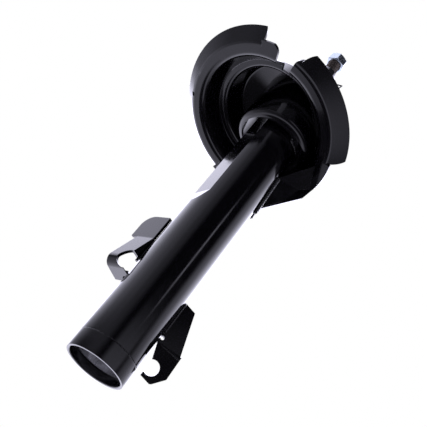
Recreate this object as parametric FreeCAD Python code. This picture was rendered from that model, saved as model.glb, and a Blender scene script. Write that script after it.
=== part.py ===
"""Front suspension strut: a twin-tube gas damper with its welded spring seat and brackets.

Millimetres, +Z up.  The origin is the centre of the damper tube's open lower end and the
tube runs up +Z.  The spring seat is tilted and set off to -X, the hose bracket is on +X.
"""

import FreeCAD, Part
import math
import os

V = FreeCAD.Vector

# Clearance of a running fit on radius, and the smallest radius a turned sheet may start at
RUNNING_FIT = 0.05
AXIS = 0.001

# Damper tube
TUBE_R = 27.0
TUBE_WALL = 2.5
TUBE_TOP = 352.0
TUBE_INNER_R = TUBE_R - TUBE_WALL

# Shallow rolled mark that ends the stretch of tube the knuckle clamps
CLAMP_TOP = 17.0
CLAMP_MARK_WIDTH = 0.8
CLAMP_MARK_DEPTH = 0.4

# Tyre-clearance flat pressed into the tube
FLAT_DIRECTION = 203.0
FLAT_R = 24.4
FLAT_BOTTOM = 169.0
FLAT_TOP = 300.0
FLAT_RAMP = 14.0

# Base of the damper
CAP_BOTTOM = 8.0
CAP_SHEET = 2.5
CAP_TOP = CAP_BOTTOM + 9.0
VALVE_BODY_BOTTOM = CAP_TOP + CAP_SHEET / 2.0
VALVE_DISCS_TOP = VALVE_BODY_BOTTOM + 5.0
CYLINDER_R = 16.5
CYLINDER_WALL = 1.5
CYLINDER_BORE_R = CYLINDER_R - CYLINDER_WALL
CYLINDER_BOTTOM = 26.0
VALVE_SEAT = CYLINDER_BOTTOM + 9.0
RIVET_HEAD = 37.7
RIVET_R = 3.05

# Rod guide pack at the top of the tube
GUIDE_BOTTOM = 318.0
GUIDE_TOP = 338.0
GUIDE_FLANGE = GUIDE_BOTTOM + 7.0
BUSH_R = 11.2
SEAL_TOP = 345.0

# Piston rod, drawn pushed in
ROD_R = 10.0
ROD_SHOULDER = 411.0
STUD_R = 7.0
STUD_TOP = 441.0
NUT_FLATS = 19.0
NUT_BOTTOM = 426.5
NUT_HEIGHT = 11.0
CLIP_Z = 402.5
CLIP_WIRE_R = 0.7
CLIP_GROOVE_DEPTH = 0.8
PISTON_MIDDLE = 82.0
PISTON_HEIGHT = 16.0
PISTON_STEM_R = 6.0
STROKE = 160.0
STOP_SEAT = GUIDE_BOTTOM + 4.0 - STROKE - 12.0

# Spring seat, in its own tilted frame
SEAT_CENTRE = V(-24.0, -3.0, 290.0)
SEAT_NORMAL = V(0.2, 0.2, 1.0)
SEAT_SHEET = 3.0
SEAT_RIM_R = 96.0
SEAT_WALL_HEIGHT = 13.5
SEAT_BEND_R = 80.5
SEAT_INNER_R = 70.0
SEAT_SHELF_R = 61.0
SEAT_SHELF_H = 21.0
SEAT_CROWN_R = 50.0
SEAT_CROWN_H = 46.0
SEAT_CROWN_RISE = 12.0
SEAT_EDGE_R = 86.0

# Directions in the seat's frame where its two walls and the gap between them end
LOW_LIP_START = 96.0
LOW_LIP_END = 141.0
LEFT_WALL_END = 238.0
GAP_START = 251.0
GAP_END = 265.0
RIGHT_WALL_END = 341.0
GAP_INNER_R = 55.0
LEFT_WALL_CORNER = 7.0
RIGHT_WALL_CORNER = 13.0

# Neck drawn down from the crown of the seat to the tube
NECK_X = -0.5
NECK_R = 40.0
NECK_BOTTOM = 283.0
NECK_HOLE_X = -3.0
NECK_HOLE_R = 31.0

# Brackets
BRACKET_SHEET = 2.8
SUPPORT_SHEET = 3.5
SUPPORT_FOOT_Z = 205.0
SUPPORT_TIP_X = 62.0
SUPPORT_TIP_Z = 266.0
SUPPORT_TURN = 6.0

# Sensor-line bracket, drawn with X outwards from the tube and then turned to its place
LINE_BRACKET_TURN = 218.3
LINE_NEAR = -19.9
LINE_FACE = 21.9
LINE_BODY_WIDTH = 21.0
LINE_TAB_WIDTH = 29.0
LINE_TAB_BOTTOM = 121.0
LINE_TAB_TOP = 147.0
LINE_FOLD_Z = 82.0
LINE_KICK = 12.0
LINE_NOTCH_R = 8.8
LINE_NOTCH_Z = 89.0

# Brake-hose bracket on the +X side
HOSE_SHEET = 3.0
HOSE_BEND_Z = 48.0
HOSE_BEND_ANGLE = 25.0
HOSE_SLOT_X = 36.6
HOSE_SLOT_DEPTH = 19.0
HOSE_SLOT_R = 6.8


def cylinder(radius, bottom, top, x=0.0, y=0.0):
    return Part.makeCylinder(radius, top - bottom, V(x, y, bottom))


def ring(outer, inner, bottom, top):
    return cylinder(outer, bottom, top).cut(cylinder(inner, bottom - 1.0, top + 1.0))


def polygon(points):
    corners = [V(*p) for p in points]
    return Part.makePolygon(corners + corners[:1])


def port_ring(count, radius, pitch_r, bottom, top):
    """Upright drills spread evenly round the axis, to be cut from a body."""
    drills = []
    for i in range(count):
        angle = math.radians(360.0 * (i + 0.5) / count)
        drills.append(cylinder(radius, bottom, top, pitch_r * math.cos(angle),
                               pitch_r * math.sin(angle)))
    return Part.makeCompound(drills)


def turned(points):
    """Solid of revolution about Z from an outline of (radius, height) points."""
    face = Part.Face(polygon([(r, 0.0, z) for r, z in points]))
    return face.revolve(V(0, 0, 0), V(0, 0, 1), 360)


def strip(points, radii, thickness):
    """Face of a bent sheet's section in the XZ plane.

    points is the centreline as (x, z), radii the centreline bend radius at each inner point.
    """
    half = thickness / 2.0
    path = [V(x, 0.0, z) for x, z in points]
    runs = [(path[i + 1] - path[i]).normalize() for i in range(len(path) - 1)]

    def side(direction):
        return V(-direction.z, 0.0, direction.x)

    edges_by_side = []
    ends = []
    for sign in (1.0, -1.0):
        start = path[0] + side(runs[0]) * (sign * half)
        first = start
        edges = []
        for i, radius in enumerate(radii):
            before = runs[i]
            after = runs[i + 1]
            cross = before.x * after.z - before.z * after.x
            turn = math.atan2(cross, before.x * after.x + before.z * after.z)
            setback = radius * math.tan(abs(turn) / 2.0)
            corner = path[i + 1]
            inward = math.copysign(1.0, turn)
            centre = corner - before * setback + side(before) * (radius * inward)
            arc_start = corner - before * setback + side(before) * (sign * half)
            arc_end = corner + after * setback + side(after) * (sign * half)
            middle = (side(before) + side(after)).normalize()
            arc_middle = centre - middle * ((radius - sign * half * inward) * inward)
            edges.append(Part.LineSegment(start, arc_start).toShape())
            edges.append(Part.Arc(arc_start, arc_middle, arc_end).toShape())
            start = arc_end
        last = path[-1] + side(runs[-1]) * (sign * half)
        edges.append(Part.LineSegment(start, last).toShape())
        edges_by_side.append(edges)
        ends.append((first, last))
    caps = [Part.LineSegment(ends[0][0], ends[1][0]).toShape()]
    caps.append(Part.LineSegment(ends[0][1], ends[1][1]).toShape())
    outline = Part.__sortEdges__(edges_by_side[0] + edges_by_side[1] + caps)
    return Part.Face(Part.Wire(outline))


def revolved_strip(points, radii, thickness):
    return strip(points, radii, thickness).revolve(V(0, 0, 0), V(0, 0, 1), 360)


def hexagon(across_flats, bottom, height):
    """Chamfered hexagonal prism about Z."""
    corner_r = across_flats / math.sqrt(3.0)
    points = []
    for i in range(6):
        angle = math.radians(60.0 * i + 20.0)
        points.append((corner_r * math.cos(angle), corner_r * math.sin(angle), bottom))
    prism = Part.Face(polygon(points)).extrude(V(0, 0, height))
    chamfer = corner_r - across_flats / 2.0
    flat_r = across_flats / 2.0 - 0.3
    rise = (corner_r - flat_r) * 0.6
    top = bottom + height
    envelope = turned([(0, bottom), (flat_r, bottom), (corner_r, bottom + rise),
                       (corner_r + chamfer, bottom + rise), (corner_r + chamfer, top - rise),
                       (corner_r, top - rise), (flat_r, top), (0, top)])
    return prism.common(envelope)


def flat_block(depth):
    """Block that presses the clearance flat, its face `depth` inside the outer flat."""
    face = FLAT_R - depth
    reach = TUBE_R + 4.0
    slope = (TUBE_R - FLAT_R) / FLAT_RAMP
    far = (reach - face) / slope
    outline = [(face, FLAT_BOTTOM + FLAT_RAMP - depth), (face, FLAT_TOP + depth),
               (reach, FLAT_TOP + far), (reach, FLAT_BOTTOM + FLAT_RAMP - depth - far)]
    block = Part.Face(polygon([(q, -30.0, z) for q, z in outline])).extrude(V(0, 60, 0))
    block.rotate(V(0, 0, 0), V(0, 0, 1), FLAT_DIRECTION)
    return block


def outer_tube():
    mark_top = CLAMP_TOP + CLAMP_MARK_WIDTH
    mark_r = TUBE_R - CLAMP_MARK_DEPTH
    body = turned([(TUBE_INNER_R + 0.6, 0), (TUBE_R, 0), (TUBE_R, CLAMP_TOP),
                   (mark_r, CLAMP_TOP + CLAMP_MARK_DEPTH / 2.0),
                   (mark_r, mark_top - CLAMP_MARK_DEPTH / 2.0), (TUBE_R, mark_top),
                   (TUBE_R, TUBE_TOP - 8.0), (TUBE_INNER_R, TUBE_TOP - 8.0),
                   (TUBE_INNER_R, 0.6)])
    lip = revolved_strip([(TUBE_R - TUBE_WALL / 2, TUBE_TOP - 8.0),
                          (TUBE_R - TUBE_WALL / 2, TUBE_TOP - TUBE_WALL / 2),
                          (TUBE_R - 7.5, TUBE_TOP - TUBE_WALL / 2)], [2.4], TUBE_WALL)
    tube = body.fuse(lip).removeSplitter()
    tube = tube.cut(flat_block(0.0))
    skin = cylinder(TUBE_R - 0.6, FLAT_BOTTOM - 4.0, FLAT_TOP + FLAT_RAMP + 4.0)
    skin = skin.common(flat_block(TUBE_WALL).cut(flat_block(0.0)))
    return tube.fuse(skin).removeSplitter()


def base_cap():
    """Dished steel cap welded inside the tube, its flange pointing down."""
    wall = TUBE_INNER_R - CAP_SHEET / 2.0
    dish = CAP_TOP - 3.0
    return revolved_strip([(wall, CAP_BOTTOM), (wall, CAP_TOP), (12.0, CAP_TOP), (9.0, dish),
                           (AXIS, dish)], [4.0, 2.0, 2.0], CAP_SHEET)


def base_valve_body():
    """Valve carrier pressed into the pressure cylinder, standing on four feet on the cap."""
    bore = RIVET_R + 0.05
    body = turned([(bore, VALVE_DISCS_TOP), (19.0, VALVE_DISCS_TOP), (19.0, CYLINDER_BOTTOM),
                   (CYLINDER_BORE_R, CYLINDER_BOTTOM), (CYLINDER_BORE_R, VALVE_SEAT),
                   (bore, VALVE_SEAT)])
    for i in range(4):
        foot = Part.makeBox(5.0, 6.0, 6.0, V(14.0, -3.0, VALVE_BODY_BOTTOM))
        foot.rotate(V(0, 0, 0), V(0, 0, 1), 90.0 * i + 45.0)
        body = body.fuse(foot)
    ports = port_ring(6, 1.6, 8.5, VALVE_BODY_BOTTOM, VALVE_SEAT + 3.0)
    return body.cut(ports).removeSplitter()


def base_valve_discs():
    """Compression shims under the valve body, widest against it."""
    sheet = 0.5
    shims = []
    for i in range(4):
        top = VALVE_DISCS_TOP - sheet * i
        shims.append(ring(11.5 - 1.5 * i, RIVET_R + 0.05, top - sheet, top))
    return shims


def base_check_plate():
    return ring(11.0, RIVET_R + 0.05, VALVE_SEAT, VALVE_SEAT + 0.5)


def base_check_spring():
    """Star-shaped leaf spring under the rivet's head; its three arms press the check plate."""
    sheet = 0.4
    width = 2.4
    hub = ring(5.0, RIVET_R + 0.05, RIVET_HEAD - sheet, RIVET_HEAD)
    leaf = strip([(4.0, RIVET_HEAD - sheet / 2.0), (5.2, RIVET_HEAD - sheet / 2.0),
                  (10.0, VALVE_SEAT + 0.8)], [1.0], sheet)
    for i in range(3):
        arm = leaf.extrude(V(0, width, 0))
        arm.translate(V(0, -width / 2.0, 0))
        arm.rotate(V(0, 0, 0), V(0, 0, 1), 120.0 * i)
        hub = hub.fuse(arm)
    return hub.removeSplitter()


def base_valve_rivet():
    head = 2.0
    under = VALVE_DISCS_TOP - 2.0
    return turned([(0, under - head), (4.6, under - head), (5.0, under), (RIVET_R, under),
                   (RIVET_R, RIVET_HEAD), (5.0, RIVET_HEAD), (4.4, RIVET_HEAD + head - 0.2),
                   (0, RIVET_HEAD + head - 0.2)])


def inner_cylinder():
    return ring(CYLINDER_R, CYLINDER_BORE_R, CYLINDER_BOTTOM, GUIDE_FLANGE)


def rod_guide():
    """Sintered guide: a flange in the tube, a spigot in the cylinder and a bush bore."""
    land = GUIDE_FLANGE + 5.0
    guide = turned([(BUSH_R, GUIDE_BOTTOM), (CYLINDER_BORE_R - 0.6, GUIDE_BOTTOM),
                    (CYLINDER_BORE_R, GUIDE_BOTTOM + 0.6), (CYLINDER_BORE_R, GUIDE_FLANGE),
                    (19.5, GUIDE_FLANGE), (21.5, land), (TUBE_INNER_R, land),
                    (TUBE_INNER_R, GUIDE_TOP), (BUSH_R, GUIDE_TOP)])
    return guide.cut(port_ring(4, 1.2, 18.0, GUIDE_FLANGE - 1.0, GUIDE_TOP + 1.0))


def guide_bush():
    return ring(BUSH_R, ROD_R + RUNNING_FIT, GUIDE_BOTTOM + 1.0, GUIDE_TOP - 3.0)


def oil_seal():
    """Moulded seal ring with a main lip, a dust lip and a groove for its garter spring."""
    bore = ROD_R + RUNNING_FIT
    return turned([(bore, GUIDE_TOP + 1.0), (TUBE_INNER_R, GUIDE_TOP), (TUBE_INNER_R, SEAL_TOP),
                   (bore + 2.5, SEAL_TOP), (bore, SEAL_TOP - 1.0), (bore + 1.2, SEAL_TOP - 3.0),
                   (bore, SEAL_TOP - 4.5)])


def garter_spring():
    return Part.makeTorus(ROD_R + 5.0, 0.8, V(0, 0, SEAL_TOP + 0.8))


def seal_washer():
    """Steel closing washer under the rolled edge of the tube."""
    top = TUBE_TOP - TUBE_WALL
    chamfer = 1.4
    return turned([(ROD_R + 7.0, SEAL_TOP), (TUBE_INNER_R, SEAL_TOP),
                   (TUBE_INNER_R, top - chamfer), (TUBE_INNER_R - chamfer, top),
                   (ROD_R + 7.0, top)])


def bump_cap():
    """Pressed striker cap over the top of the tube, for the bump stop to land on."""
    wall = TUBE_R + 0.75
    top = TUBE_TOP + 0.75
    return revolved_strip([(wall, TUBE_TOP - 7.0), (wall, top), (ROD_R + 3.0, top)],
                          [2.6], 1.5)


def seat_placed(shape):
    """Move a shape from the seat's own frame to its tilted place on the tube."""
    turn = FreeCAD.Rotation(V(0, 0, 1), SEAT_NORMAL)
    shape.Placement = FreeCAD.Placement(SEAT_CENTRE, turn)
    return shape


def sector(inner, outer, bottom, top, start, end):
    """Ring sector about Z between two angles in degrees."""
    block = Part.makeCylinder(outer, top - bottom, V(0, 0, bottom), V(0, 0, 1), end - start)
    block = block.cut(cylinder(inner, bottom - 1.0, top + 1.0))
    block.rotate(V(0, 0, 0), V(0, 0, 1), start)
    return block


def seat_pan():
    """Flared wall, spring track, dome with its shelf, and the crown, in the seat's frame."""
    half = SEAT_SHEET / 2.0
    crown_hole_r = 10.0
    top = SEAT_CROWN_H + SEAT_CROWN_RISE * (1.0 - crown_hole_r / SEAT_CROWN_R)
    points = [(SEAT_RIM_R - half, SEAT_WALL_HEIGHT), (SEAT_BEND_R, half),
              (SEAT_INNER_R, half), (SEAT_SHELF_R, SEAT_SHELF_H),
              (SEAT_CROWN_R + 3.0, SEAT_SHELF_H), (SEAT_CROWN_R, SEAT_CROWN_H),
              (crown_hole_r, top)]
    return revolved_strip(points, [4.5, 5.0, 3.0, 3.0, 6.0], SEAT_SHEET)


def below_crown():
    """Everything under the outer skin of the crown, in the seat's frame."""
    skin = SEAT_CROWN_H + SEAT_SHEET / 2.0
    outer = SEAT_RIM_R + 5.0
    return turned([(0, -60.0), (outer, -60.0), (outer, skin), (SEAT_CROWN_R, skin),
                   (0, skin + SEAT_CROWN_RISE)])


def wall_corner(direction, side, radius):
    """What rounds off the top corner of a wall that ends at a direction.

    side is 1 where the wall runs on towards larger directions and -1 where it comes from them.
    """
    top = SEAT_WALL_HEIGHT + 1.0
    near = SEAT_BEND_R - 2.0
    low = min(0.0, side * radius)
    bottom = max(top - radius, SEAT_SHEET + 0.5)
    block = Part.makeBox(30.0, radius, top + 5.0 - bottom, V(near, low, bottom))
    rounding = Part.makeCylinder(radius, 30.0, V(near, side * radius, top - radius), V(1, 0, 0))
    corner = block.cut(rounding)
    corner.rotate(V(0, 0, 0), V(0, 0, 1), direction)
    return corner


def track_corner(direction, side, radius):
    """What rounds off the outer corner of the spring track where it ends at a direction."""
    outer = SEAT_EDGE_R
    low = min(0.0, side * radius)
    block = Part.makeBox(radius + 14.0, radius, 40.0, V(outer - radius, low, -10.0))
    rounding = Part.makeCylinder(radius, 40.0, V(outer - radius, side * radius, -10.0))
    corner = block.cut(rounding)
    corner.rotate(V(0, 0, 0), V(0, 0, 1), direction)
    return corner


def without_wall(pan):
    """The pan with a plain flat track on its far side and just before the gap."""
    flat = SEAT_BEND_R - 4.0
    reach = SEAT_RIM_R + 10.0
    bare = ((RIGHT_WALL_END - 360.0, LOW_LIP_START), (LEFT_WALL_END, GAP_START))
    for start, end in bare:
        pan = pan.cut(sector(flat, reach, -8.0, 30.0, start, end))
        pan = pan.fuse(sector(flat, SEAT_EDGE_R, 0.0, SEAT_SHEET, start, end))
    return pan


def seat_cuts():
    """What is trimmed from the pan, in the seat's frame."""
    reach = SEAT_RIM_R + 10.0
    deep = -8.0
    high = 30.0
    # only a low lip before the left wall begins
    cuts = [sector(SEAT_BEND_R - 4.0, reach, 5.0, high, LOW_LIP_START - 6.0, LOW_LIP_END)]
    # gap for the spring end, cut in as far as the crown
    cuts.append(sector(GAP_INNER_R, reach, deep, SEAT_SHELF_H + 5.0, GAP_START, GAP_END))
    cuts.append(track_corner(GAP_START, -1, 8.0))
    cuts.append(track_corner(GAP_END, 1, 5.0))
    cuts.append(wall_corner(LEFT_WALL_END, -1, LEFT_WALL_CORNER))
    cuts.append(wall_corner(GAP_END + 3.0, 1, RIGHT_WALL_CORNER))
    cuts.append(wall_corner(RIGHT_WALL_END, -1, RIGHT_WALL_CORNER))
    # drain hole in the spring track
    drain = Part.makeCylinder(2.5, 20.0, V(81.5, 0.0, -10.0))
    drain.rotate(V(0, 0, 0), V(0, 0, 1), 155.0)
    cuts.append(drain)
    return cuts


def spring_seat():
    """Pressed spring seat with its drawn neck, which stands round the tube."""
    half = SEAT_SHEET / 2.0
    pan = without_wall(seat_pan())
    for cut in seat_cuts():
        pan = pan.cut(cut)
    pan = seat_placed(pan)
    pan = pan.cut(cylinder(NECK_R - half, NECK_BOTTOM + SEAT_SHEET, TUBE_TOP + 40.0, NECK_X))
    neck = revolved_strip([(NECK_R + 0.5 - half, TUBE_TOP + 20.0),
                           (NECK_R - half, NECK_BOTTOM + half), (20.0, NECK_BOTTOM + half)],
                          [5.0], SEAT_SHEET)
    neck.translate(V(NECK_X, 0, 0))
    neck = neck.cut(cylinder(NECK_HOLE_R, NECK_BOTTOM - 10.0, NECK_BOTTOM + 6.0, NECK_HOLE_X))
    neck = neck.common(seat_placed(below_crown()))
    seat = pan.fuse(neck)
    seat = seat.cut(cylinder(TUBE_R, 0.0, TUBE_TOP + 50.0))
    return seat.removeSplitter()


def support_front():
    """Slanting front sheet of the support, from the tube out to a line across the track."""
    foot = V(25.5, -4.0, SUPPORT_FOOT_Z + 2.0)
    shoulder = V(25.0, -9.5, 248.0)
    tip = V(60.0, 9.0, 270.5)
    far = V(50.5, -21.8, 286.0)
    back = (tip - foot).cross(shoulder - foot).normalize() * SUPPORT_SHEET
    if back.y < 0.0:
        back = -back
    lower = Part.Face(Part.makePolygon([foot, tip, shoulder, foot])).extrude(back)
    upper = Part.Face(Part.makePolygon([shoulder, tip, far, shoulder])).extrude(back)
    return lower.fuse(upper)


def seat_support():
    """Folded gusset from the tube out to the rim of the seat, with a stiffening flange."""
    inner = TUBE_R - 4.0
    high = SUPPORT_TIP_Z + 34.0
    outline = [(inner, 0.0, SUPPORT_FOOT_Z), (SUPPORT_TIP_X, 0.0, SUPPORT_TIP_Z),
               (SUPPORT_TIP_X, 0.0, high), (inner, 0.0, high)]
    web = Part.Face(polygon(outline)).extrude(V(0, SUPPORT_SHEET, 0))
    edge = V(SUPPORT_TIP_X - inner, 0.0, SUPPORT_TIP_Z - SUPPORT_FOOT_Z)
    flange = Part.makeBox(edge.Length, 12.0, SUPPORT_SHEET)
    flange.rotate(V(0, 0, 0), V(0, 1, 0), -math.degrees(math.atan2(edge.z, edge.x)))
    flange.translate(V(inner, 0.0, SUPPORT_FOOT_Z))
    support = web.fuse(flange)
    support.translate(V(0, -2.0, 0))
    support.rotate(V(0, 0, 0), V(0, 0, 1), SUPPORT_TURN)
    support = support.fuse(support_front())
    support = support.cut(cylinder(TUBE_R, 150.0, 330.0))
    under_track = Part.makeCylinder(SEAT_EDGE_R, 60.0, V(0, 0, -60.0))
    dome = SEAT_INNER_R - 1.0
    inside_dome = turned([(0, -1.0), (dome, -1.0), (dome, 0.0),
                          (dome - 11.0, SEAT_SHELF_H - 4.0), (0, SEAT_SHELF_H - 4.0)])
    room = seat_placed(under_track.fuse(inside_dome))
    support = support.common(room).cut(spring_seat())
    return max(support.removeSplitter().Solids, key=lambda solid: solid.Volume)


def bead(points, radius):
    """Weld bead: a round bar along a line of points, with a ball at every point."""
    shape = Part.makeSphere(radius, points[0])
    for i in range(len(points) - 1):
        run = points[i + 1] - points[i]
        shape = shape.fuse(Part.makeCylinder(radius, run.Length, points[i], run))
        shape = shape.fuse(Part.makeSphere(radius, points[i + 1]))
    return shape


def solid_runs(weld):
    """The pieces of a weld that are big enough to keep, without the slivers."""
    return [solid for solid in weld.Solids if solid.Volume > 30.0]


def on_tube(angle, z, out=0.0):
    a = math.radians(angle)
    return V((TUBE_R + out) * math.cos(a), (TUBE_R + out) * math.sin(a), z)


def support_weld():
    """Fillet welds that run up both sides of the support's foot on the tube."""
    weld = bead([on_tube(14.0, 206.0), on_tube(15.0, 214.0), on_tube(11.5, 262.0)], 3.4)
    weld = weld.fuse(bead([on_tube(-8.0, 206.0), on_tube(-13.0, 216.0), on_tube(-21.0, 246.0)],
                          3.0))
    weld = weld.cut(cylinder(TUBE_R, 150.0, 330.0))
    return solid_runs(weld.cut(seat_support()).cut(spring_seat()))


def neck_weld():
    """Weld where the neck of the seat meets the tube, on the +X side."""
    points = [on_tube(-60.0 + 15.0 * i, NECK_BOTTOM - 0.5) for i in range(9)]
    weld = bead(points, 2.8)
    weld = weld.cut(cylinder(TUBE_R, 150.0, 330.0))
    return solid_runs(weld.cut(spring_seat()).cut(seat_support()))


def line_bracket():
    """Folded bracket that stands off the tube and holds the sensor line beside it."""
    face = LINE_FACE - BRACKET_SHEET / 2.0
    low = face + LINE_KICK
    bend = LINE_TAB_BOTTOM - 0.5
    section = strip([(face, LINE_TAB_TOP), (face, bend), (low, LINE_FOLD_Z),
                     (low - 23.0, LINE_FOLD_Z - 2.0)], [6.0, 6.5], BRACKET_SHEET)
    body = section.extrude(V(0, LINE_BODY_WIDTH, 0))
    body.translate(V(0, LINE_NEAR - LINE_BODY_WIDTH, 0))
    edge = LINE_NEAR - LINE_TAB_WIDTH
    tab = Part.makeBox(BRACKET_SHEET, LINE_TAB_WIDTH, LINE_TAB_TOP - LINE_TAB_BOTTOM,
                       V(face - BRACKET_SHEET / 2.0, edge, LINE_TAB_BOTTOM))
    corner = 12.0
    round_off = Part.makeBox(20.0, corner, corner, V(10.0, edge, LINE_TAB_TOP - corner))
    round_off = round_off.cut(Part.makeCylinder(corner, 20.0,
                              V(10.0, edge + corner, LINE_TAB_TOP - corner), V(1, 0, 0)))
    bracket = body.fuse(tab).cut(round_off)
    web = Part.makeBox(17.0, BRACKET_SHEET, 26.0, V(14.0, LINE_NEAR - BRACKET_SHEET, 95.0))
    web_foot = LINE_NOTCH_Z + 2.0
    limit = Part.Face(polygon([(0, 0, web_foot), (face + LINE_KICK * 0.8, 0, web_foot),
                               (face, 0, bend), (0, 0, bend)])).extrude(V(0, 10, 0))
    limit.translate(V(0, LINE_NEAR - 8.0, 0))
    bracket = bracket.fuse(web.common(limit))
    notch = Part.makeCylinder(LINE_NOTCH_R, 30.0, V(20.0, LINE_NEAR - 1.5, LINE_NOTCH_Z),
                              V(1, 0, 0))
    bracket = bracket.cut(notch).removeSplitter()
    bracket.rotate(V(0, 0, 0), V(0, 0, 1), LINE_BRACKET_TURN)
    return bracket.cut(cylinder(TUBE_R, 40.0, 200.0))


def line_bracket_welds():
    """Two short welds: along the web and under the foot."""
    side = bead([on_tube(180.0 - 9.5, 98.0), on_tube(180.0 - 9.5, 118.0)], 2.2)
    foot = bead([on_tube(180.0 - 12.0, 76.0), on_tube(180.0 - 22.0, 76.0)], 2.0)
    tube = cylinder(TUBE_R, 40.0, 200.0)
    bracket = line_bracket()
    return [side.cut(tube).cut(bracket), foot.cut(tube).cut(bracket)]


def hose_bracket():
    """Radial plate with its lower half bent and slotted to hook round a brake hose ferrule."""
    inner = TUBE_R - 3.0
    upper = [(inner, 0, 91.0), (28.4, 0, 90.5), (38.5, 0, 88.5), (51.0, 0, 46.5),
             (inner, 0, HOSE_BEND_Z + 0.5)]
    plate = Part.Face(polygon(upper)).extrude(V(0, HOSE_SHEET, 0))
    relief = Part.makeCylinder(1.8, 10.0, V(28.8, -3.0, 53.5), V(0, 1, 0))
    plate = plate.cut(relief).cut(cylinder(TUBE_R, 20.0, 120.0))
    lower = [(27.6, 0, 0.6), (51.0, 0, 2.0), (52.2, 0, -19.3), (44.6, 0, -29.6),
             (43.0, 0, -30.4), (33.1, 0, -28.9), (33.1, 0, -14.5), (27.9, 0, -1.0)]
    flap = Part.Face(polygon(lower)).extrude(V(0, HOSE_SHEET, 0))
    slot = Part.makeCylinder(HOSE_SLOT_R, 10.0, V(HOSE_SLOT_X, -3.0, -HOSE_SLOT_DEPTH), V(0, 1, 0))
    mouth = Part.makeBox(20.0, 10.0, 10.2, V(HOSE_SLOT_X - 20.0, -3.0, -HOSE_SLOT_DEPTH - 6.3))
    flap = flap.cut(slot).cut(mouth)
    flap.rotate(V(0, 0, 0), V(1, 0, 0), HOSE_BEND_ANGLE)
    flap.translate(V(0, 0, HOSE_BEND_Z))
    bracket = plate.fuse(flap)
    return bracket.removeSplitter()


def hose_bracket_welds():
    """Fillet welds up both sides of the plate's foot."""
    welds = []
    for y in (-1.2, 4.2):
        angle = math.degrees(math.asin(y / TUBE_R))
        line = bead([on_tube(angle, 58.0), on_tube(angle, 88.0)], 2.0)
        line = line.cut(cylinder(TUBE_R, 40.0, 120.0)).cut(hose_bracket())
        welds.append(max(line.Solids, key=lambda solid: solid.Volume))
    return welds


def piston_rod():
    """Hard-chromed rod: piston stem, bore-sized shank, clip groove, shoulder and top thread."""
    stem_top = PISTON_MIDDLE + PISTON_HEIGHT / 2.0 + 4.0
    thread_root = STUD_R - 0.65
    groove_r = ROD_R - CLIP_GROOVE_DEPTH
    return turned([(0, 62.0), (PISTON_STEM_R - 1.0, 62.0), (PISTON_STEM_R, 63.0),
                   (PISTON_STEM_R, stem_top), (ROD_R - 1.0, stem_top), (ROD_R, stem_top + 1.0),
                   (ROD_R, CLIP_Z - 1.0), (groove_r, CLIP_Z - 0.9),
                   (groove_r, CLIP_Z + 0.9), (ROD_R, CLIP_Z + 1.0),
                   (ROD_R, ROD_SHOULDER - 0.8), (ROD_R - 0.8, ROD_SHOULDER),
                   (thread_root, ROD_SHOULDER), (thread_root, ROD_SHOULDER + 2.5),
                   (STUD_R, ROD_SHOULDER + 3.2), (STUD_R, STUD_TOP - 1.2),
                   (STUD_R - 1.2, STUD_TOP), (0, STUD_TOP)])


def rod_nut():
    nut = hexagon(NUT_FLATS, NUT_BOTTOM, NUT_HEIGHT)
    return nut.cut(cylinder(STUD_R, NUT_BOTTOM - 1.0, NUT_BOTTOM + NUT_HEIGHT + 1.0))


def wire_clip():
    """Sprung wire ring in the rod's groove, with a pinched ear for pulling it off."""
    radius = ROD_R - CLIP_GROOVE_DEPTH + CLIP_WIRE_R + 0.08
    points = []
    for i in range(25):
        angle = math.radians(20.0 + 12.0 * i)
        points.append(V(radius * math.cos(angle), radius * math.sin(angle), CLIP_Z))
    points.append(V(13.5, -2.5, CLIP_Z))
    points.append(V(20.5, -5.0, CLIP_Z + 1.5))
    points.append(V(18.5, 6.5, CLIP_Z + 1.0))
    return bead(points, CLIP_WIRE_R)


def rebound_stop():
    bottom = STOP_SEAT - 6.0
    outer = ROD_R + 3.4
    return turned([(ROD_R, bottom), (ROD_R + 2.2, bottom), (outer, bottom + 3.0),
                   (outer, STOP_SEAT), (ROD_R, STOP_SEAT)])


def rebound_bumper():
    """Hard rubber ring on top of the rebound stop; it cushions full extension."""
    top = STOP_SEAT + 7.5
    bore = ROD_R + RUNNING_FIT
    return turned([(bore, STOP_SEAT), (ROD_R + 3.6, STOP_SEAT), (ROD_R + 3.9, STOP_SEAT + 2.0),
                   (ROD_R + 3.0, top), (bore, top)])


def piston():
    """Sintered piston with a ring of ports and a land for its band."""
    bottom = PISTON_MIDDLE - PISTON_HEIGHT / 2.0
    top = PISTON_MIDDLE + PISTON_HEIGHT / 2.0
    groove_r = CYLINDER_BORE_R - 1.3
    outer = CYLINDER_BORE_R - 0.3
    body = turned([(PISTON_STEM_R, bottom), (outer, bottom), (outer, bottom + 2.5),
                   (groove_r, bottom + 2.5), (groove_r, top - 2.5), (outer, top - 2.5),
                   (outer, top), (PISTON_STEM_R, top)])
    return body.cut(port_ring(8, 1.3, 10.0, bottom - 1.0, top + 1.0))


def piston_band():
    bottom = PISTON_MIDDLE - PISTON_HEIGHT / 2.0 + 2.5
    top = PISTON_MIDDLE + PISTON_HEIGHT / 2.0 - 2.5
    return ring(CYLINDER_BORE_R - 0.05, CYLINDER_BORE_R - 1.3, bottom, top)


def shim_stack(start, direction, radii):
    shims = []
    for i, radius in enumerate(radii):
        low = start + direction * 0.4 * i
        bottom = min(low, low + direction * 0.4)
        shims.append(ring(radius, PISTON_STEM_R, bottom, bottom + 0.4))
    return shims


def rebound_discs():
    return shim_stack(PISTON_MIDDLE - PISTON_HEIGHT / 2.0, -1, (12.5, 12.5, 11.0, 9.5, 8.5))


def compression_discs():
    return shim_stack(PISTON_MIDDLE + PISTON_HEIGHT / 2.0, 1, (12.5, 11.0, 9.5))


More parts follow.
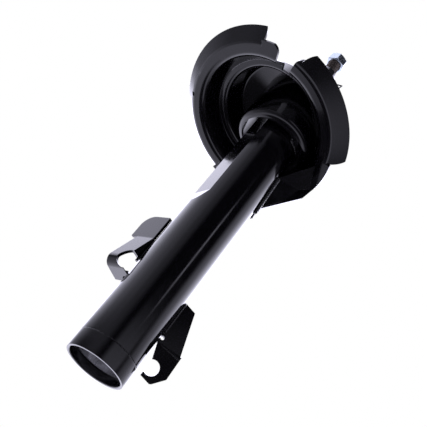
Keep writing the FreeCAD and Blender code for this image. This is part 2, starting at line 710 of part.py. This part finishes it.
def disc_support():
    """Backing washer between the upper discs and the rod's step."""
    bottom = PISTON_MIDDLE + PISTON_HEIGHT / 2.0 + 1.2
    return ring(8.8, PISTON_STEM_R, bottom, bottom + 2.8)


def piston_nut():
    top = PISTON_MIDDLE - PISTON_HEIGHT / 2.0 - 2.0
    nut = hexagon(17.0, top - 8.0, 8.0)
    return nut.cut(cylinder(PISTON_STEM_R, top - 9.0, top + 1.0))


MAKERS = (outer_tube, base_cap, base_valve_body, base_valve_discs, base_check_plate,
          base_check_spring, base_valve_rivet, inner_cylinder, rod_guide, guide_bush,
          oil_seal, garter_spring, seal_washer, bump_cap, spring_seat, seat_support,
          support_weld, neck_weld, line_bracket, line_bracket_welds, hose_bracket,
          hose_bracket_welds, piston_rod, rod_nut, wire_clip, rebound_stop, rebound_bumper,
          piston, piston_band, rebound_discs, compression_discs, disc_support, piston_nut)


def main():
    os.makedirs("parts", exist_ok=True)
    for maker in MAKERS:
        shape = maker()
        if isinstance(shape, list):
            shape = Part.makeCompound(shape)
        shape.exportStep("parts/" + maker.__name__ + ".step")
        print(maker.__name__, shape.isValid(), len(shape.Solids), round(shape.Volume))


main()
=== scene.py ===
"""Looks of a front suspension strut assembly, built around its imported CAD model.

Metres, in the CAD model's own frame: +Z runs up the damper tube from its open lower end.
"""

import math
import bmesh
import bpy
from mathutils import Matrix, Vector, noise


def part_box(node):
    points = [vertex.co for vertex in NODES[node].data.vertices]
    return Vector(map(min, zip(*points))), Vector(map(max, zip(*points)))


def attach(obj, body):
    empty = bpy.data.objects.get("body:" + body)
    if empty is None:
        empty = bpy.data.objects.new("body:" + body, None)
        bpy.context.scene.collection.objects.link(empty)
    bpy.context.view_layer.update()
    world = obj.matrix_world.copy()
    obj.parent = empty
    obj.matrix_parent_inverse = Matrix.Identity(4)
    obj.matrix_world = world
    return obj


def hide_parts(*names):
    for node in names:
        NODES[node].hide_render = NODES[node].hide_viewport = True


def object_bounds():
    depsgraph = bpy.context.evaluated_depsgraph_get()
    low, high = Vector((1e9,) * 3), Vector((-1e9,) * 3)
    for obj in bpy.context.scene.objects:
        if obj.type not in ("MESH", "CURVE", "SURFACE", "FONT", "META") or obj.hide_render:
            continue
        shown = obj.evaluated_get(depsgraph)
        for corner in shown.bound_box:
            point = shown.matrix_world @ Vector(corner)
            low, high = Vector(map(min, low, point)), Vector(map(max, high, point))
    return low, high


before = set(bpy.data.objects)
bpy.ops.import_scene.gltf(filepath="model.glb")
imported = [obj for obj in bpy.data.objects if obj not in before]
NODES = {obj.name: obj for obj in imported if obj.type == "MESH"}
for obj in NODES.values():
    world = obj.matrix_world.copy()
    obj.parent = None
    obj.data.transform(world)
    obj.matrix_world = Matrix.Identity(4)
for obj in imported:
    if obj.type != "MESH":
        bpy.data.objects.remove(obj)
CAD_LOW, CAD_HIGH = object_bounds()
MM = 0.001

# Camera: below the tube's open end, looking up at the spring seat
CAMERA_LENS = 57.5
CAMERA_SENSOR = 36.0
CAMERA_DISTANCE = 0.6228
CAMERA_ELEVATION = -32.0
CAMERA_ROLL = 38.6
AIM_X = -0.002
AIM_SHARE_OF_HEIGHT = 0.403

# Thread on top of the rod and inside the nut
THREAD_PITCH = 1.5 * MM
THREAD_DEPTH = 0.85 * MM
CREST_SHARE = 0.12
FLANK_SHARE = 0.72
ROOT_POWER = 0.9

# Rod: stem inside the piston, shank, and threaded stud with a hexagon socket
ROD_POINTS = 144
ROD_THREAD_RINGS = 260
STEM_R = 6.0 * MM
STEM_CHAMFER = 1.0 * MM
STUD_R = 7.0 * MM
STUD_LENGTH = 30.0 * MM
STUD_CHAMFER = 1.3 * MM
RELIEF_LENGTH = 2.3 * MM
RELIEF_DEPTH = 0.75 * MM
THREAD_RUN_IN = 1.2 * MM
THREAD_LOOK_OVERLAP = 0.2 * MM
SOCKET_R = 3.45 * MM
SOCKET_DEPTH = 6.0 * MM
SOCKET_CHAMFER = 0.5 * MM
SOCKET_TIP_R = 0.4 * MM
SOCKET_TIP_DEPTH = 1.5 * MM

# Outlines in mm, as (depth under the radius, height): the clip's groove and the shoulder
# on the shank, and the foot of the stud
GROOVE = ((0.0, -1.0), (0.6, -0.9), (0.85, -0.5), (0.85, 0.5), (0.6, 0.9), (0.0, 1.0))
SHOULDER = ((0.0, -1.1), (0.25, -0.8), (1.1, 0.0))
STUD_FOOT = ((0.1, 0.0), (0.75, 0.5))
WIRE_R = 0.7 * MM

# Hexagon nut
NUT_POINTS = 192
NUT_THREAD_RINGS = 40
NUT_FLATS = 19.0 * MM
NUT_TURN = 20.0
NUT_MOUTH_R = 7.5 * MM
NUT_MOUTH_DEPTH = 0.7 * MM
NUT_CREST = 0.45 * MM
NUT_FACE_INSET = 0.35 * MM
NUT_CHAMFER_SLOPE = 0.58
NUT_CHAMFER_SHARES = (0.25, 0.5, 0.75, 1.0)
NUT_CORNER_ROUND = 0.12 * MM
NUT_WASHER = 0.4 * MM
NUT_WASHER_INSET = 0.5 * MM

# Weld beads: ripples along the run, scallops and lumps off the surface, in mm
TUBE_R = 27.0 * MM
WELD_VOXEL = 0.42 * MM
WELD_RELAX = 0.5
WELD_RELAX_TIMES = 3
RIPPLE_PITCH = 2.3 * MM
RIPPLE_WANDER = 0.18
RIPPLE_WANDER_SCALE = 90.0
SCALLOP_POWER = 1.6
SCALLOP = 0.34
LUMP = 0.12
LUMP_SCALE = 420.0

# Studio floor, in metres
FLOOR_HALF = 6.0
FLOOR_CELLS = 48
FLOOR_DROP = 0.40
FLOOR_FLAT_SHARE = 0.7
FLOOR_RISE = 0.05


# ---------------------------------------------------------------- material helpers

# Places of the colour sockets on a Mix node
MIX_A, MIX_B, MIX_RESULT = 6, 7, 2


def feed(tree, socket, value):
    """Link a value that comes from another node, or set a plain one."""
    if isinstance(value, bpy.types.NodeSocket):
        tree.links.new(value, socket)
    else:
        socket.default_value = value


class Graph:
    """A node material with a Principled shader and short ways to add to it."""

    def __init__(self, name):
        self.material = bpy.data.materials.new(name)
        self.material.use_nodes = True
        self.tree = self.material.node_tree
        self.shader = next(n for n in self.tree.nodes if n.type == "BSDF_PRINCIPLED")
        self.coords = self.tree.nodes.new("ShaderNodeTexCoord").outputs["Object"]

    def add(self, kind, inputs=None, **settings):
        node = self.tree.nodes.new("ShaderNode" + kind)
        for key, value in settings.items():
            setattr(node, key, value)
        for key, value in (inputs or {}).items():
            feed(self.tree, node.inputs[key], value)
        return node

    def set(self, **values):
        """Set or link the shader's sockets; an underscore stands for a space."""
        for key, value in values.items():
            feed(self.tree, self.shader.inputs[key.replace("_", " ")], value)

    def noise(self, scale, detail=2.0, stretch=(1.0, 1.0, 1.0), roughness=0.5):
        """Noise over the object; scale is features per metre."""
        mapping = self.add("Mapping", {"Vector": self.coords, "Scale": stretch})
        texture = self.add("TexNoise", {"Vector": mapping.outputs["Vector"], "Scale": scale,
                                        "Detail": detail, "Roughness": roughness})
        return texture.outputs["Fac"]

    def remap(self, value, low, high, to_low, to_high):
        node = self.add("MapRange", {"Value": value, "From Min": low, "From Max": high,
                                     "To Min": to_low, "To Max": to_high})
        return node.outputs["Result"]

    def multiply(self, a, b):
        return self.add("Math", {0: a, 1: b}, operation="MULTIPLY").outputs["Value"]

    def mix_colour(self, share, a, b):
        node = self.add("Mix", {"Factor": share, MIX_A: a, MIX_B: b}, data_type="RGBA")
        return node.outputs[MIX_RESULT]

    def bump(self, height, strength, distance, normal=None):
        inputs = {"Height": height, "Strength": strength, "Distance": distance}
        if normal is not None:
            inputs["Normal"] = normal
        return self.add("Bump", inputs).outputs["Normal"]

    def soft_normal(self, radius):
        """The surface normal with every sharp edge rounded over by radius."""
        return self.add("Bevel", {"Radius": radius}, samples=6).outputs["Normal"]

    def edges(self, radius):
        """Near 1 on outward edges and folds, 0 on the faces between them."""
        rounded = self.soft_normal(radius)
        plain = self.add("NewGeometry").outputs["Normal"]
        dot = self.add("VectorMath", {0: rounded, 1: plain}, operation="DOT_PRODUCT")
        return self.remap(dot.outputs["Value"], 0.98, 0.80, 0.0, 1.0)


def grey(value, blue=0.0):
    return (value, value, value * (1.0 + blue), 1.0)


# ---------------------------------------------------------------- materials

def enamel(name, peel, roughness):
    """Gloss black enamel: orange peel, dust, thin scuffs and worn edges."""
    g = Graph(name)
    worn = g.multiply(g.edges(0.5 * MM), g.remap(g.noise(420.0, 4.0), 0.50, 0.68, 0.0, 1.0))
    scuff = g.remap(g.noise(150.0, 5.0, (1.0, 1.0, 0.12), 0.7), 0.68, 0.82, 0.0, 0.28)
    shade = g.mix_colour(g.noise(30.0, 3.0), (0.0005, 0.0004, 0.0008, 1.0),
                         (0.0013, 0.0010, 0.0018, 1.0))
    shade = g.mix_colour(scuff, shade, (0.022, 0.021, 0.024, 1.0))
    g.set(Base_Color=g.mix_colour(g.multiply(worn, 0.6), shade, (0.09, 0.088, 0.095, 1.0)))
    patch = g.remap(g.noise(60.0, 4.0), 0.3, 0.7, roughness - 0.035, roughness + 0.045)
    g.set(Roughness=g.add("Math", {0: patch, 1: g.multiply(worn, 0.2)}).outputs["Value"])
    normal = g.bump(g.noise(430.0, 2.0), peel, 0.06 * MM, g.soft_normal(0.45 * MM))
    g.set(Normal=g.bump(g.noise(2600.0, 2.0), peel * 0.5, 0.012 * MM, normal))
    g.set(IOR=1.5)
    return g.material


def metal(name, colour, roughness, grain, stretch, bump, stain=None):
    """Metal with a drawn or turned grain, blotchy sheen and softened edges."""
    g = Graph(name)
    lines = g.noise(grain, 4.0, stretch, 0.65)
    cloud = g.noise(90.0, 4.0)
    dark = tuple(c * 0.72 for c in colour[:3]) + (1.0,)
    tint = g.mix_colour(cloud, dark, colour)
    if stain:
        tint = g.mix_colour(g.remap(g.noise(240.0, 5.0), 0.55, 0.72, 0.0, 0.7), tint, stain)
    g.set(Base_Color=tint, Metallic=1.0)
    g.set(Roughness=g.remap(lines, 0.25, 0.75, roughness * 0.75, roughness * 1.25))
    g.set(Normal=g.bump(lines, bump, 0.02 * MM, g.soft_normal(0.25 * MM)))
    return g.material


def sintered(name):
    """Pressed and sintered iron: matt grey, with open pits pressed in and painted darker inside
    as painted shade.
    """
    g = Graph(name)
    cells = g.add("TexVoronoi", {"Vector": g.coords, "Scale": 2600.0})
    pore_pits_and_painted_shade = g.remap(cells.outputs["Distance"], 0.12, 0.35, 0.0, 1.0)
    # The pits' dark colour is painted shade: it is darkest where each pit is deepest.
    g.set(Base_Color=g.mix_colour(pore_pits_and_painted_shade, grey(0.06), grey(0.24)), Metallic=0.85)
    g.set(Roughness=g.remap(g.noise(300.0, 3.0), 0.3, 0.7, 0.42, 0.62))
    g.set(Normal=g.bump(pore_pits_and_painted_shade, 0.25, 0.05 * MM, g.soft_normal(0.3 * MM)))
    return g.material


def rubber(name, colour):
    """Moulded rubber or filled plastic with a fine matt grain."""
    g = Graph(name)
    shade = tuple(c * 0.6 for c in colour[:3]) + (1.0,)
    g.set(Base_Color=g.mix_colour(g.noise(160.0, 4.0), shade, colour))
    g.set(Roughness=g.remap(g.noise(500.0, 3.0), 0.3, 0.7, 0.48, 0.66))
    g.set(Normal=g.bump(g.noise(3200.0, 3.0), 0.2, 0.03 * MM, g.soft_normal(0.2 * MM)))
    return g.material


def zinc(name):
    """Bright zinc plate with a blue passivate and rub marks."""
    g = Graph(name)
    cloud = g.noise(380.0, 4.0)
    g.set(Base_Color=g.mix_colour(cloud, (0.52, 0.62, 0.74, 1.0), (0.80, 0.86, 0.92, 1.0)))
    g.set(Metallic=1.0, Roughness=g.remap(g.noise(900.0, 4.0), 0.3, 0.7, 0.16, 0.34))
    g.set(Normal=g.bump(g.noise(1500.0, 4.0), 0.12, 0.03 * MM, g.soft_normal(0.25 * MM)))
    return g.material


def make_materials():
    along = (1.0, 1.0, 0.03)
    made = {
        "black_paint": enamel("gloss_black_enamel", 0.08, 0.11),
        "bare_steel": metal("pressed_steel", grey(0.58, 0.03), 0.30, 900.0, along, 0.25,
                            (0.30, 0.27, 0.25, 1.0)),
        "sintered_iron": sintered("sintered_iron"),
        "spring_steel": metal("tempered_spring_steel", (0.34, 0.33, 0.35, 1.0), 0.24, 1400.0,
                              (1.0, 1.0, 1.0), 0.10),
        "bush_bronze": metal("lined_bronze", (0.62, 0.40, 0.22, 1.0), 0.30, 1200.0, along, 0.15),
        "seal_rubber": rubber("seal_rubber", (0.020, 0.020, 0.021, 1.0)),
        "rod_chrome": metal("hard_chrome", grey(0.55, 0.04), 0.07, 2400.0, (1.0, 1.0, 14.0),
                            0.03),
        "zinc_plate": zinc("blue_zinc_plate"),
        "wire_steel": metal("blackened_wire", grey(0.07, 0.05), 0.24, 1600.0, (1.0, 1.0, 1.0),
                            0.08),
        "band_plastic": rubber("filled_ptfe_band", (0.10, 0.075, 0.05, 1.0)),
    }
    made["thread"] = metal("phosphated_thread", (0.16, 0.135, 0.12, 1.0), 0.34, 1500.0,
                           (1.0, 1.0, 1.0), 0.30)
    made["weld"] = enamel("enamel_over_weld", 0.30, 0.18)
    return made


def dress_nodes(materials):
    """Give every CAD node the full version of the material its record slot names."""
    for node in NODES.values():
        for place in node.material_slots:
            place.material = materials[place.material.name.split(".")[0]]


# ---------------------------------------------------------------- mesh helpers

def new_piece(name, mesh, material, body, slot, *replaced):
    mesh.materials.append(material)
    piece = bpy.data.objects.new(name, mesh)
    bpy.context.scene.collection.objects.link(piece)
    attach(piece, body)
    if replaced:
        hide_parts(*replaced)
    return piece


def skin(name, rings, smooth_angle, loop=False):
    """Mesh through closed rings of points; its ends are capped, or joined in a loop."""
    bm = bmesh.new()
    rows = [[bm.verts.new(p) for p in ring] for ring in rings]
    count = len(rows[0])
    for low, high in zip(rows, rows[1:] + (rows[:1] if loop else [])):
        for i in range(count):
            j = (i + 1) % count
            bm.faces.new((low[i], low[j], high[j], high[i]))
    if not loop:
        bm.faces.new(list(reversed(rows[0])))
        bm.faces.new(rows[-1])
    bmesh.ops.recalc_face_normals(bm, faces=bm.faces)
    mesh = bpy.data.meshes.new(name)
    bm.to_mesh(mesh)
    bm.free()
    mesh.shade_smooth()
    mesh.set_sharp_from_angle(angle=math.radians(smooth_angle))
    return mesh


def circle(radius, z, count, wobble=None):
    """One ring of points about Z; wobble(angle) is taken off the radius."""
    points = []
    for i in range(count):
        angle = 2.0 * math.pi * i / count
        r = radius - (wobble(angle) if wobble else 0.0)
        points.append((r * math.cos(angle), r * math.sin(angle), z))
    return points


# ---------------------------------------------------------------- pieces

def thread_cut(z, angle):
    """Depth of the thread at a height and angle: flat crests, rounded roots."""
    turn = (z / THREAD_PITCH - angle / (2.0 * math.pi)) % 1.0
    away = abs(turn - 0.5) * 2.0
    slope = min(max((away - CREST_SHARE) / FLANK_SHARE, 0.0), 1.0)
    return THREAD_DEPTH * (1.0 - slope) ** ROOT_POWER


def rod_outline(low, high, shoulder_z):
    """Radii and heights from the stem's end up to the foot of the thread."""
    shank_r = high.x
    groove_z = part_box("wire_clip")[0].z + WIRE_R
    stem_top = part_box("disc_support")[1].z
    outline = [(STEM_R - STEM_CHAMFER, low.z), (STEM_R, low.z + STEM_CHAMFER),
               (STEM_R, stem_top), (shank_r - STEM_CHAMFER, stem_top),
               (shank_r, stem_top + STEM_CHAMFER), (shank_r, 0.5 * (stem_top + groove_z))]
    for radius, height, shape in ((shank_r, groove_z, GROOVE), (shank_r, shoulder_z, SHOULDER),
                                  (STUD_R, shoulder_z, STUD_FOOT)):
        outline += [(radius - depth * MM, height + up * MM) for depth, up in shape]
    return outline


def build_rod(materials):
    """The whole rod: stem, ground shank, clip groove, shoulder and a cut thread."""
    low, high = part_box("piston_rod")
    shoulder_z = high.z - STUD_LENGTH
    rings = [circle(r, z, ROD_POINTS) for r, z in rod_outline(low, high, shoulder_z)]
    relief_top = shoulder_z + RELIEF_LENGTH
    for k in range(ROD_THREAD_RINGS + 1):
        z = relief_top + (high.z - relief_top) * k / ROD_THREAD_RINGS
        fade = min((z - relief_top) / THREAD_RUN_IN, 1.0)
        start = RELIEF_DEPTH * (1.0 - fade)
        chamfer = max(0.0, STUD_CHAMFER - (high.z - z))
        rings.append(circle(STUD_R - max(start, chamfer), z, ROD_POINTS,
                            lambda a, z=z, f=fade, c=chamfer: max(thread_cut(z, a) * f - c, 0.0)))
    floor_z = high.z - SOCKET_DEPTH
    rings.append(circle(SOCKET_R + SOCKET_CHAMFER, high.z, ROD_POINTS))
    rings.append(hexagon_ring(SOCKET_R, high.z - SOCKET_CHAMFER, ROD_POINTS))
    rings.append(hexagon_ring(SOCKET_R, floor_z, ROD_POINTS))
    rings.append(circle(SOCKET_TIP_R, floor_z - SOCKET_TIP_DEPTH, ROD_POINTS))
    mesh = skin("rod_shank_and_stud", rings, 35.0)
    new_piece("rod_shank_and_stud", mesh, materials["rod_chrome"], "rod", "rod_chrome",
              "piston_rod")
    mesh.materials.append(materials["thread"])
    for face in mesh.polygons:
        if face.center.z > shoulder_z - THREAD_LOOK_OVERLAP:
            face.material_index = 1


def hexagon_ring(across_r, z, count, turn=0.0, round_off=None):
    """Ring of points on a hexagon whose flats are across_r from the centre."""
    points = []
    for i in range(count):
        angle = 2.0 * math.pi * i / count
        local = (angle - turn + math.pi / 6.0) % (math.pi / 3.0) - math.pi / 6.0
        r = across_r / math.cos(local)
        if round_off is not None:
            r = min(r, round_off)
        points.append((r * math.cos(angle), r * math.sin(angle), z))
    return points


def build_nut(materials):
    """Hexagon nut with turned chamfers, a washer face and a threaded bore."""
    low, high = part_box("rod_nut")
    bottom, top = low.z, high.z
    flat_r = NUT_FLATS / 2.0
    face_r = flat_r - NUT_FACE_INSET
    corner_r = flat_r / math.cos(math.pi / 6.0)
    turn = math.radians(NUT_TURN) + math.pi / 6.0

    def face(z, limit):
        return hexagon_ring(flat_r, z, NUT_POINTS, turn, limit)

    rings = []
    for k in range(NUT_THREAD_RINGS + 1):
        z = (bottom + NUT_MOUTH_DEPTH
             + (top - bottom - 2.0 * NUT_MOUTH_DEPTH) * k / NUT_THREAD_RINGS)
        rings.append(circle(STUD_R - NUT_CREST, z, NUT_POINTS,
                            lambda a, z=z: thread_cut(z, a) - THREAD_DEPTH))
    reaches = [face_r + (corner_r - face_r) * share for share in NUT_CHAMFER_SHARES]
    washer_z = bottom + NUT_WASHER
    rings.append(circle(NUT_MOUTH_R, top, NUT_POINTS))
    rings.append(circle(face_r, top, NUT_POINTS))
    for reach in reaches:
        rings.append(face(top - (reach - face_r) * NUT_CHAMFER_SLOPE, reach))
    rings.append(face(0.5 * (top + bottom), corner_r - NUT_CORNER_ROUND))
    for reach in reversed(reaches):
        rings.append(face(washer_z + (reach - face_r) * NUT_CHAMFER_SLOPE, reach))
    rings.append(circle(flat_r - NUT_WASHER, washer_z, NUT_POINTS))
    rings.append(circle(flat_r - NUT_WASHER_INSET, bottom, NUT_POINTS))
    rings.append(circle(NUT_MOUTH_R, bottom, NUT_POINTS))
    mesh = skin("hexagon_nut", rings, 28.0, loop=True)
    new_piece("hexagon_nut", mesh, materials["zinc_plate"], "rod", "zinc_plate", "rod_nut")


def build_weld(node, name, ripple, materials):
    """A weld bead with overlapping ripples, grown from the CAD bead it stands for."""
    mesh = NODES[node].data.copy()
    mesh.materials.clear()
    piece = new_piece(name, mesh, materials["weld"], "housing", "black_paint", node)
    remesh = piece.modifiers.new("even", "REMESH")
    remesh.mode = "VOXEL"
    remesh.voxel_size = WELD_VOXEL
    remesh.use_smooth_shade = True
    smooth = piece.modifiers.new("relax", "SMOOTH")
    smooth.factor = WELD_RELAX
    smooth.iterations = WELD_RELAX_TIMES
    evaluated = piece.evaluated_get(bpy.context.evaluated_depsgraph_get())
    final = bpy.data.meshes.new_from_object(evaluated)
    final.name = name
    piece.modifiers.clear()
    piece.data = final
    bpy.data.meshes.remove(mesh)
    points = [v.co.copy() for v in final.vertices]
    normals = [v.normal.copy() for v in final.vertices]
    for vertex, point, normal in zip(final.vertices, points, normals):
        scallop = (1.0 - ripple(point) % 1.0) ** SCALLOP_POWER
        lump = noise.noise(point * LUMP_SCALE)
        vertex.co = point + normal * MM * (SCALLOP * (scallop - 0.5) + LUMP * lump)
    final.shade_smooth()


def build_welds(materials):
    def wander(p):
        return RIPPLE_WANDER * noise.noise(p * RIPPLE_WANDER_SCALE)

    def along_z(p):
        return p.z / RIPPLE_PITCH + wander(p)

    def around_tube(p):
        return math.atan2(p.y, p.x) * TUBE_R / RIPPLE_PITCH + wander(p)

    for node, name, ripple in (
            ("support_weld", "support_weld_bead", along_z),
            ("neck_weld", "neck_weld_bead", around_tube),
            ("line_bracket_welds", "line_bracket_weld_beads", along_z),
            ("hose_bracket_welds", "hose_bracket_weld_beads", along_z)):
        build_weld(node, name, ripple, materials)


# ---------------------------------------------------------------- studio

def build_floor():
    """Wide pale floor, well under the strut, rising to a low rim far away."""
    size = FLOOR_HALF
    count = FLOOR_CELLS
    level = CAD_LOW.z - FLOOR_DROP
    bm = bmesh.new()
    rows = []
    for i in range(count + 1):
        row = []
        for j in range(count + 1):
            x = size * (2.0 * i / count - 1.0)
            y = size * (2.0 * j / count - 1.0)
            rise = max(0.0, math.hypot(x, y) - size * FLOOR_FLAT_SHARE)
            row.append(bm.verts.new((x, y, level + FLOOR_RISE * rise * rise)))
        rows.append(row)
    for i in range(count):
        for j in range(count):
            bm.faces.new((rows[i][j], rows[i + 1][j], rows[i + 1][j + 1], rows[i][j + 1]))
    mesh = bpy.data.meshes.new("studio_floor")
    bm.to_mesh(mesh)
    bm.free()
    mesh.shade_smooth()
    g = Graph("pale_floor")
    g.set(Base_Color=g.mix_colour(g.noise(3.0, 3.0), grey(0.80), grey(0.84)))
    g.set(Roughness=g.remap(g.noise(40.0, 3.0), 0.3, 0.7, 0.72, 0.85))
    g.set(Normal=g.bump(g.noise(300.0, 3.0), 0.05, 0.2 * MM))
    mesh.materials.append(g.material)
    floor = bpy.data.objects.new("studio_floor", mesh)
    bpy.context.scene.collection.objects.link(floor)
    floor.visible_glossy = False


# Brightest level a ramp of the tent can hold, and the level of its narrow strip light
LIGHT_PEAK = 5.0
STRIP_LEVEL = 2.2

# Brightness of the tent's walls, as (degrees from -Y towards +X, level): under the horizon,
# a little over it, and higher up
UNDER = ((-180, 2.6), (-145, 2.2), (-120, 1.0), (-95, 0.5), (-50, 0.2), (0, 0.05), (60, 0.05),
         (105, 0.06), (130, 0.7), (155, 2.2), (180, 2.6))
LOW = ((-180, 1.8), (-130, 0.4), (-86, 0.06), (-37, 0.30), (-8, 0.04), (14, 0.75), (56, 0.75),
       (72, 0.12), (88, 0.55), (140, 1.0), (180, 1.8))
HIGH = ((-180, 4.4), (-119, 2.5), (-86, 1.25), (-60, 0.70), (-37, 0.34), (-12, 0.02),
        (62, 0.02), (88, 1.0), (119, 2.6), (145, 4.0), (180, 4.6))
STRIP = ((-180, 0.0), (34.0, 0.0), (35.5, STRIP_LEVEL), (38.5, STRIP_LEVEL), (40.0, 0.0))

# The same by height, where 0 is straight down, 1 the horizon and 2 straight up
STRIP_HEIGHT = ((1.36, 0.0), (1.46, 1.0), (1.53, 1.0), (1.56, 0.0))
TABLE = ((0.0, 0.06), (0.09, 0.08), (0.18, 1.15))

# Heights, as sines, between which one level goes over into the next, and the tent's colour
UNDER_TO_LOW = (-0.25, 0.22)
LOW_TO_HIGH = (0.27, 0.42)
TABLE_TO_WALLS = (-0.80, -0.50)
TENT_COLOUR = (0.95, 0.94, 1.13, 1.0)


class Tent:
    """The world's nodes: brightness by direction and by height."""

    def __init__(self, tree):
        self.tree = tree
        coords = tree.nodes.new("ShaderNodeTexCoord").outputs["Generated"]
        split = tree.nodes.new("ShaderNodeSeparateXYZ")
        tree.links.new(coords, split.inputs[0])
        front = self.maths("MULTIPLY", split.outputs["Y"], -1.0)
        turn = self.maths("ARCTAN2", split.outputs["X"], front)
        self.place = self.maths("ADD", self.maths("MULTIPLY", turn, 0.5 / math.pi), 0.5)
        self.height = split.outputs["Z"]
        self.rise = self.maths("MULTIPLY", self.maths("ADD", self.height, 1.0), 0.5)

    def maths(self, operation, a, b):
        node = self.tree.nodes.new("ShaderNodeMath")
        node.operation = operation
        for index, value in ((0, a), (1, b)):
            feed(self.tree, node.inputs[index], value)
        return node.outputs[0]

    def ramp(self, value, stops):
        node = self.tree.nodes.new("ShaderNodeValToRGB")
        node.color_ramp.interpolation = "EASE"
        band = node.color_ramp.elements
        while len(band) < len(stops):
            band.new(0.5)
        for element, (place, level) in zip(band, stops):
            element.position = place
            element.color = (level, level, level, 1.0)
        self.tree.links.new(value, node.inputs["Fac"])
        return node.outputs["Color"]

    def round_about(self, levels):
        return self.ramp(self.place, [((degrees + 180.0) / 360.0, level / LIGHT_PEAK)
                                      for degrees, level in levels])

    def up_and_down(self, levels, peak):
        return self.ramp(self.rise, [(height / 2.0, level / peak) for height, level in levels])

    def fade(self, low, high):
        """Share that goes from 0 to 1 between two heights, given as sines."""
        node = self.tree.nodes.new("ShaderNodeMapRange")
        node.interpolation_type = "SMOOTHSTEP"
        node.inputs["From Min"].default_value = low
        node.inputs["From Max"].default_value = high
        self.tree.links.new(self.height, node.inputs["Value"])
        return node.outputs["Result"]

    def mix(self, kind, share, a, b):
        node = self.tree.nodes.new("ShaderNodeMix")
        node.data_type = "RGBA"
        node.blend_type = kind
        for index, value in ((0, share), (MIX_A, a), (MIX_B, b)):
            feed(self.tree, node.inputs[index], value)
        return node.outputs[MIX_RESULT]


def build_light():
    """Studio tent: bright walls round the back and sides, dark where the camera stands."""
    world = bpy.data.worlds.new("studio")
    bpy.context.scene.world = world
    world.use_nodes = True
    tree = world.node_tree
    tree.nodes.clear()
    tent = Tent(tree)
    walls = tent.mix("MIX", tent.fade(*UNDER_TO_LOW), tent.round_about(UNDER),
                     tent.round_about(LOW))
    walls = tent.mix("MIX", tent.fade(*LOW_TO_HIGH), walls, tent.round_about(HIGH))
    walls = tent.mix("MIX", tent.fade(*TABLE_TO_WALLS), tent.up_and_down(TABLE, LIGHT_PEAK),
                     walls)
    strip = tent.mix("MULTIPLY", 1.0, tent.round_about(STRIP),
                     tent.up_and_down(STRIP_HEIGHT, 1.0))
    walls = tent.mix("ADD", 1.0, walls, strip)
    walls = tent.mix("MULTIPLY", 1.0, walls, TENT_COLOUR)

    lit = tree.nodes.new("ShaderNodeBackground")
    lit.inputs["Strength"].default_value = LIGHT_PEAK
    tree.links.new(walls, lit.inputs["Color"])
    plain = tree.nodes.new("ShaderNodeBackground")
    plain.inputs["Color"].default_value = grey(1.0)
    paths = tree.nodes.new("ShaderNodeLightPath")
    choose = tree.nodes.new("ShaderNodeMixShader")
    output = tree.nodes.new("ShaderNodeOutputWorld")
    tree.links.new(paths.outputs["Is Camera Ray"], choose.inputs[0])
    tree.links.new(lit.outputs[0], choose.inputs[1])
    tree.links.new(plain.outputs[0], choose.inputs[2])
    tree.links.new(choose.outputs[0], output.inputs["Surface"])
    bpy.context.scene.view_settings.view_transform = "Standard"


def build_camera():
    data = bpy.data.cameras.new("studio_camera")
    data.lens = CAMERA_LENS
    data.sensor_width = CAMERA_SENSOR
    camera = bpy.data.objects.new("studio_camera", data)
    bpy.context.scene.collection.objects.link(camera)
    elevation = math.radians(CAMERA_ELEVATION)
    roll = math.radians(CAMERA_ROLL)
    aim = Vector((AIM_X, 0.0, CAD_LOW.z + AIM_SHARE_OF_HEIGHT * (CAD_HIGH.z - CAD_LOW.z)))
    back = Vector((0.0, -math.cos(elevation), math.sin(elevation)))
    level_up = Vector((0.0, math.sin(elevation), math.cos(elevation)))
    right = Vector((1.0, 0.0, 0.0)) * math.cos(roll) + level_up * math.sin(roll)
    up = back.cross(right)
    turn = Matrix((right, up, back)).transposed()
    camera.matrix_world = Matrix.Translation(aim + back * CAMERA_DISTANCE) @ turn.to_4x4()
    data.clip_start = 0.01
    bpy.context.scene.camera = camera


materials = make_materials()
dress_nodes(materials)
build_rod(materials)
build_nut(materials)
build_welds(materials)
build_floor()
build_light()
build_camera()
